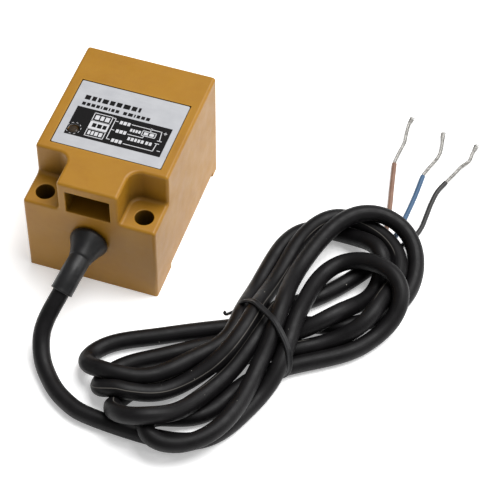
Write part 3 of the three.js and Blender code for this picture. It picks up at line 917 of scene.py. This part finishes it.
def ribbon(name, path, outward, width, thickness, finish):
    """A flat band along a path with a bead along each edge, its flat side facing outward."""
    tangents = unit(np.gradient(path, axis=0))
    across = unit(np.cross(tangents, outward))
    up = np.cross(across, tangents)
    w, t = width / 2, thickness / 2
    section = [(-w, 0), (-w * 0.9, t * 0.9), (-w * 0.68, t), (-w * 0.45, t * 0.55), (0, t * 0.42),
               (w * 0.45, t * 0.55), (w * 0.68, t), (w * 0.9, t * 0.9), (w, 0), (w * 0.9, -t * 0.9),
               (w * 0.5, -t), (-w * 0.5, -t), (-w * 0.9, -t * 0.9)]
    vertices = []
    for centre, u, v in zip(path, across, up):
        vertices += [centre + u * a + v * b for a, b in section]
    faces = tube_faces(len(path), len(section)) + end_faces(len(path), len(section))
    piece = new_piece(name, vertices, faces, finish)
    with edited(piece.data) as shaped:
        bmesh.ops.recalc_face_normals(shaped, faces=shaped.faces)
    return piece


def make_tie(strands, finish):
    """A twist tie drawn taut over the waist of the coil and tucked under at both ends, and its free tail."""
    flat = smooth_path([(x, y, 0) for x, y in TIE_LINE], 0.5)
    height = np.array([surface_height(place, strands) for place in flat[:, :2]]) + TIE_CLEARANCE
    over = np.column_stack([flat[:, :2], taut_over(lengths(flat), height)])
    path = smooth_path(TIE_FIRST_END + over[1:-1:4].tolist() + TIE_LAST_END, 0.5)
    band = ribbon("twist_tie", path, path - TIE_MIDDLE, TIE_WIDTH, TIE_THICKNESS, finish)
    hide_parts("cable_tie")
    tail_path = smooth_path(TIE_TAIL, 0.3)
    stations = tube_stations(tail_path, 0.42, 0.12)
    tail = sleeve("twist_tie_tail", tail_path, stations, 10, finish)
    return band, tail


# ---- housing


def block(low, high):
    """A plain box in a bmesh, used as a cutter."""
    shaped = bmesh.new()
    size = [b - a for a, b in zip(low, high)]
    middle = [(a + b) / 2 for a, b in zip(low, high)]
    bmesh.ops.create_cube(shaped, size=1, matrix=Matrix.Translation(middle) @ Matrix.Diagonal((*size, 1)))
    return shaped


def drum(radius, start, end, centre, along_y=False, segments=48):
    """A cylinder cutter, upright or along Y."""
    shaped = bmesh.new()
    turn = Matrix.Rotation(math.pi / 2, 4, "X") if along_y else Matrix.Identity(4)
    middle = (start + end) / 2
    place = (centre[0], middle, centre[1]) if along_y else (centre[0], centre[1], middle)
    bmesh.ops.create_cone(shaped, cap_ends=True, segments=segments, radius1=radius, radius2=radius,
                          depth=end - start, matrix=Matrix.Translation(place) @ turn)
    return shaped


def upright(outline, bottom, top):
    """A prism from an outline in the XY plane."""
    shaped = bmesh.new()
    face = shaped.faces.new([shaped.verts.new((x, y, bottom)) for x, y in outline])
    out = bmesh.ops.extrude_face_region(shaped, geom=[face])
    moved = [v for v in out["geom"] if isinstance(v, bmesh.types.BMVert)]
    bmesh.ops.translate(shaped, verts=moved, vec=(0, 0, top - bottom))
    bmesh.ops.recalc_face_normals(shaped, faces=shaped.faces)
    return shaped


def recess_outline(side):
    """The space above one mounting shelf, with a rounded inner corner."""
    outer, inner = side * (HALF_WIDTH + 2), side * TONGUE_HALF
    x, y = inner + side * RECESS_FILLET, DECK_FRONT - RECESS_FILLET
    arc = [(x - side * RECESS_FILLET * math.cos(angle), y + RECESS_FILLET * math.sin(angle))
           for angle in np.linspace(0, math.pi / 2, 11)]
    return [(outer, -HALF_LENGTH - 2), (inner, -HALF_LENGTH - 2)] + arc + [(outer, DECK_FRONT)]


def cutters():
    """Everything that is taken out of the housing's block."""
    out = []
    for side in (-1, 1):
        out.append(upright(recess_outline(side), SHELF_HEIGHT, HEIGHT + 2))
        out.append(drum(SCREW_RADIUS, -1, SHELF_HEIGHT + 1, (side * SCREW_X, SCREW_Y)))
    x, y = PLATE_CENTRE
    w, l = PLATE_SIZE[0] / 2, PLATE_SIZE[1] / 2
    inset = CAVITY_HALF - WELD
    return out + [
        block((-POCKET_HALF, -HALF_LENGTH - 1, SHELF_HEIGHT),
              (POCKET_HALF, -HALF_LENGTH + POCKET_DEPTH, POCKET_TOP)),
        block((-HALF_WIDTH - 1, FRONT_FOOT_END, -1), (HALF_WIDTH + 1, BACK_FOOT_START, FOOT_HEIGHT)),
        block((-CAVITY_HALF, CAVITY_FRONT, CAVITY_FLOOR), (CAVITY_HALF, CAVITY_BACK, CAVITY_ROOF)),
        block((-inset, CAVITY_FRONT + WELD, 0), (inset, COVER_END, CAVITY_FLOOR + 1)),
        block((-CHANNEL_HALF, CHANNEL_FRONT, CHANNEL_FLOOR), (CHANNEL_HALF, CAVITY_FRONT + 1, CHANNEL_ROOF)),
        drum(CABLE_HOLE, -HALF_LENGTH - 1, CHANNEL_FRONT + 1, (0, CABLE_HEIGHT), True),
        block((x - w, y - l, HEIGHT - PLATE_RECESS), (x + w, y + l, HEIGHT + 1)),
        drum(INDICATOR_HOLE, CAVITY_ROOF - 1, HEIGHT + 1, INDICATOR),
    ]


def edge_round(middle):
    """How far an edge of the housing is rounded, in mm, given its middle."""
    x, y, z = middle
    in_walls = abs(x) < CAVITY_HALF + NEAR and CHANNEL_FRONT - NEAR < y < CAVITY_BACK + NEAR
    under_roof = in_walls and z < CAVITY_ROOF + NEAR
    if under_roof and (y > CAVITY_FRONT - NEAR or FOOT_HEIGHT + NEAR < z <= SHELF_HEIGHT - NEAR):
        return 0
    over_plate = all(abs(place - centre) < size / 2 + NEAR
                     for place, centre, size in zip((x, y), PLATE_CENTRE, PLATE_SIZE))
    if over_plate and z > HEIGHT - PLATE_RECESS - NEAR:
        return 0.1
    if z < FOOT_HEIGHT + NEAR:
        return 0.25
    if (abs(x) - SCREW_X) ** 2 + (y - SCREW_Y) ** 2 < (SCREW_RADIUS + 2 * NEAR) ** 2:
        return 0.25
    if abs(x) < POCKET_HALF + NEAR and SHELF_HEIGHT - NEAR < z < POCKET_TOP + NEAR:
        return 0.3 if y < -HALF_LENGTH + NEAR else 0.2
    if abs(y + HALF_LENGTH) < NEAR and x * x + (z - CABLE_HEIGHT) ** 2 < (CABLE_HOLE + 0.7) ** 2:
        return 0.2
    return 1.0


def cut_out(piece):
    """Takes every cutter's shape out of the housing's block."""
    tools = []
    for number, cutter in enumerate(cutters()):
        mesh = bpy.data.meshes.new(f"cutter_{number}")
        cutter.to_mesh(mesh)
        cutter.free()
        tools.append(added(f"cutter_{number}", mesh))
        cut = piece.modifiers.new(f"cut_{number}", "BOOLEAN")
        cut.operation = "DIFFERENCE"
        cut.solver = "EXACT"
        cut.object = tools[-1]
    apply_modifiers(piece)
    for tool in tools:
        bpy.data.meshes.remove(tool.data)


def round_edges(piece):
    """Rounds every sharp edge of the housing by its own amount."""
    with edited(piece.data) as shaped:
        bmesh.ops.remove_doubles(shaped, verts=shaped.verts, dist=WELD)
        bmesh.ops.dissolve_limit(shaped, angle_limit=FLAT_ANGLE, verts=shaped.verts, edges=shaped.edges)
        weights = shaped.edges.layers.float.new("bevel_weight_edge")
        for edge in shaped.edges:
            if len(edge.link_faces) == 2 and abs(edge.calc_face_angle_signed()) > SHARP_ANGLE:
                edge[weights] = edge_round((edge.verts[0].co + edge.verts[1].co) / 2)
    bevel = piece.modifiers.new("rounding", "BEVEL")
    bevel.limit_method = "WEIGHT"
    bevel.width = 1.0
    bevel.segments = 4
    bevel.use_clamp_overlap = False
    bevel.miter_outer = "MITER_ARC"
    bevel.harden_normals = False
    apply_modifiers(piece)


def make_housing(finish):
    """The moulded housing: a block with its recesses cut out, rounded, then shaded smooth in metres."""
    body = block((-HALF_WIDTH, -HALF_LENGTH, 0), (HALF_WIDTH, HALF_LENGTH, HEIGHT))
    mesh = bpy.data.meshes.new("housing_shell")
    body.to_mesh(mesh)
    body.free()
    piece = added("housing_shell", mesh)
    cut_out(piece)
    round_edges(piece)
    piece.data.transform(Matrix.Scale(MM, 4))
    piece.data.polygons.foreach_set("use_smooth", [True] * len(piece.data.polygons))
    piece.data.set_sharp_from_angle(angle=SHADED_ANGLE)
    flat = piece.modifiers.new("flat_faces", "WEIGHTED_NORMAL")
    flat.keep_sharp = True
    apply_modifiers(piece)
    piece.data.materials.clear()
    piece.data.materials.append(finish)
    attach(piece, "root")
    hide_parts("housing")


def apply_modifiers(piece):
    """Replaces the piece's mesh by the result of its modifiers."""
    bpy.context.view_layer.update()
    shaped = bpy.data.meshes.new_from_object(piece.evaluated_get(bpy.context.evaluated_depsgraph_get()))
    piece.modifiers.clear()
    before = piece.data
    piece.data = shaped
    bpy.data.meshes.remove(before)


# ---- label

PRINT_THICKNESS = 0.02
PANEL = (-14.0, -8.1, 15.0, 3.0)
LINE_WIDTH = 0.24
SAME_ANGLE = 1e-6


def strip(start, end, width):
    """The four corners of a straight printed line, as an outline."""
    a, b = np.array(start, float), np.array(end, float)
    along = (b - a) / np.linalg.norm(b - a)
    side = np.array([-along[1], along[0]]) * width / 2
    return [tuple(a - side), tuple(b - side), tuple(b + side), tuple(a + side)]


def bar(x0, y0, x1, y1):
    """The four corners of a rectangle, as an outline."""
    return [(x0, y0), (x1, y0), (x1, y1), (x0, y1)]


def printed(name, outlines, level, finish):
    """Flat printed shapes on the nameplate: each outline becomes a very thin prism."""
    vertices, faces = [], []
    low = PLATE_TOP + level * PRINT_THICKNESS + 0.002
    high = PLATE_TOP + (level + 1) * PRINT_THICKNESS
    for outline in outlines:
        n, base = len(outline), len(vertices)
        vertices += [(x, y, low) for x, y in outline] + [(x, y, high) for x, y in outline]
        faces += end_faces(2, n, base) + tube_faces(2, n, base)
    return new_piece(name, vertices, faces, finish, smooth=False)


def panel_outlines():
    """The dark panel: one bar, and quadrilaterals from the indicator's hole out to a rectangle round it."""
    left, bottom, right, top = PANEL
    cx, cy = INDICATOR
    split = cx + 2.0
    out = [bar(split, bottom, right, top)]

    def inner(angle):
        """A point of the hole's rim."""
        return (cx + INDICATOR_HOLE * math.cos(angle), cy + INDICATOR_HOLE * math.sin(angle))

    def outer(angle):
        """Where a ray from the hole's centre meets the rectangle."""
        c, s = math.cos(angle), math.sin(angle)
        reach = []
        if abs(c) > SAME_ANGLE:
            reach.append(((split if c > 0 else left) - cx) / c)
        if abs(s) > SAME_ANGLE:
            reach.append(((top if s > 0 else bottom) - cy) / s)
        return (cx + c * min(reach), cy + s * min(reach))

    corners = [math.atan2(y - cy, x - cx) % (2 * math.pi) for x in (left, split) for y in (bottom, top)]
    angles = sorted(list(np.linspace(0, 2 * math.pi, 24, endpoint=False)) + corners)
    for a, b in zip(angles, angles[1:] + [angles[0] + 2 * math.pi]):
        if b - a >= SAME_ANGLE:
            out.append([inner(a), outer(a), outer(b), inner(b)])
    return out


def row_of_bars(x0, x1, y0, y1, widths, space):
    """A row of short bars that fills the given length, for a line of print; a width of 0 leaves a gap."""
    total = sum(widths) + space * (len(widths) - 1)
    scale = (x1 - x0) / total
    out, x = [], x0
    for width in widths:
        if width:
            out.append(bar(x, y0, x + width * scale, y1))
        x += (width + space) * scale
    return out


def make_label():
    """Print on the nameplate: bars in place of words and a plain wiring diagram of symbols."""
    black = print_ink("panel_ink", tone(9, 8, 9), tone(13, 12, 13))
    white = print_ink("line_ink", tone(192, 192, 194), tone(178, 178, 181))
    printed("label_panel", panel_outlines(), 0, black)
    words = row_of_bars(-13.2, 3.9, 6.1, 7.8, [1.3, 1.0, 0.7, 1.4, 1.2, 1.3, 1.6, 1.2, 0.6], 0.42)
    words += row_of_bars(-13.2, -1.9, 3.8, 5.0, [1, 1, 1.1, 1, 0.4, 1.2, 0.4, 0.9, 1], 0.35)
    words += row_of_bars(-0.6, 7.5, 3.8, 5.0, [1, 1.3, 0.4, 0.9, 1, 1], 0.35)
    printed("label_bars", words, 0, black)
    printed("label_box_bars", row_of_bars(-7.4, -3.1, -3.4, -1.9, [1.1, 1.2, 1.0], 0.3), 2, black)
    printed("label_lines", diagram(), 1, white)


def lines(*ends, width=LINE_WIDTH):
    """Straight printed lines, each from x, y to x, y."""
    return [strip((x0, y0), (x1, y1), width) for x0, y0, x1, y1 in ends]


def diagram():
    """White lines of the panel: three stacked cells, a bracket, supply lines and the indicator's rays."""
    left, right = -8.3, -2.6
    levels = (1.95, -1.1, -4.3, -7.0)
    out = [bar(left, levels[2], right, levels[1])]
    for low, high in ((levels[1], levels[0]), (levels[3], levels[2])):
        out += lines((left, high, right, high), (left, low, right, low))
        out += lines(*((x, low, x, high) for x in (left + LINE_WIDTH / 2, right - LINE_WIDTH / 2)))
    out += row_of_bars(left + 0.7, right - 0.7, -0.4, 1.25, [1.2, 1.0, 1.2], 0.4)
    out += row_of_bars(left + 0.7, right - 0.7, -6.4, -4.9, [0.8, 0.8, 1.1, 1.1], 0.35)
    out += lines((-1.75, 1.75, -1.75, -6.3))
    for y in (0.8, -2.6, -6.3):
        out += lines((-1.75, y, -0.7, y))
        out += row_of_bars(-0.2, 2.9, y - 0.65, y + 0.6, [0.9, 1.0, 0.9], 0.28)
    out += lines((-2.5, 1.75, -1.75, 1.75), (3.3, 1.0, 12.4, 1.0), (12.4, 1.1, 12.9, -2.5),
                 (12.2, -2.5, 13.6, -2.5), (3.3, -2.8, 7.9, -2.8), (7.9, -2.9, 8.0, -1.9),
                 (7.1, -0.1, 11.3, -0.1), (7.1, -1.9, 11.3, -1.9), (7.2, -0.1, 7.2, -1.9),
                 (11.2, -0.1, 11.2, -1.9), (9.3, 1.0, 9.3, -0.1))
    out.append(bar(8.95, 0.65, 9.65, 1.35))
    out += row_of_bars(7.7, 10.7, -1.55, -0.5, [1, 1], 0.35)
    out += row_of_bars(3.6, 6.7, -1.6, -0.5, [0.7, 0.7, 0.8, 0.8], 0.3)
    out += row_of_bars(4.0, 11.2, -4.9, -3.7, [0.8, 0.9, 0.8, 0.8, 0.9, 0, 0.9, 0.9], 0.35)
    out += lines((3.4, -6.6, 12.4, -6.6), (12.3, -6.6, 12.5, -3.6), (11.9, -3.6, 13.2, -3.6),
                 (13.1, 0.7, 14.1, 0.7), (13.6, 0.2, 13.6, 1.2), (13.4, -6.1, 14.4, -6.1))
    for k in range(10):
        start, end = ((INDICATOR[0] + 2.15 * math.cos(a), INDICATOR[1] + 2.15 * math.sin(a))
                      for a in (2 * math.pi * (k + part) / 10 for part in (0.0, 0.45)))
        out += lines((*start, *end), width=0.14)
    return out


# ---- stage

# In metres, apart from the colour.
FLOOR_HALF = 4.0
LIGHT_AIM = (0.03, -0.01, 0)
WHITE = (1, 1, 1, 1)


def make_stage():
    """A pale floor, a large soft light overhead to the right and a weak white surround."""
    mesh = bpy.data.meshes.new("floor")
    mesh.from_pydata([(x, y, 0) for x, y in bar(-FLOOR_HALF, -FLOOR_HALF, FLOOR_HALF, FLOOR_HALF)], [],
                     [(0, 1, 2, 3)])
    floor = added("floor", mesh)
    paper = Finish("floor_paper", Specular_IOR_Level=0.1, Roughness=0.9, Emission_Color=WHITE,
                   Emission_Strength=0.3)
    paper.colour(paper.blend(paper.noise(400, 2), (0.96, 0.96, 0.96, 1), (0.98, 0.98, 0.98, 1)))
    mesh.materials.append(paper.material)
    add_light("key", (0.85, 0.8, 2.5), 2.2, 112)
    add_light("side", (1.3, 0.3, 0.6), 0.7, 3.3)
    world = bpy.data.worlds.new("surround")
    world.use_nodes = True
    background = world.node_tree.nodes["Background"]
    background.inputs["Color"].default_value = WHITE
    background.inputs["Strength"].default_value = 0.345
    bpy.context.scene.world = world
    bpy.context.scene.view_settings.view_transform = "Standard"


def add_light(name, place, size, power):
    """A square light, in metres and watts, aimed at the middle of the object."""
    lamp = bpy.data.lights.new(name, "AREA")
    lamp.shape = "SQUARE"
    lamp.size = size
    lamp.energy = power
    holder = added(name, lamp)
    holder.location = place
    holder.rotation_euler = (Vector(LIGHT_AIM) - Vector(place)).to_track_quat("-Z", "Y").to_euler()


# ---- main


def main():
    """Every piece, and then the stage."""
    place_camera()
    finishes = inner_finishes()
    cable, path = make_cable(cable_jacket())
    boot_rubber = rubber("relief_rubber", tone(17, 17, 18), (0.34, 0.48), 0.34, grain_mm=0.5)
    boot = make_strain_relief(boot_rubber.material)
    tie, tail = make_tie(path, rubber("tie_plastic", tone(18, 18, 19), (0.4, 0.55), 0.22).material)
    make_wires(path, finishes)
    make_housing(housing_plastic())
    finish_frame(finishes)
    make_label()
    make_stage()


main()
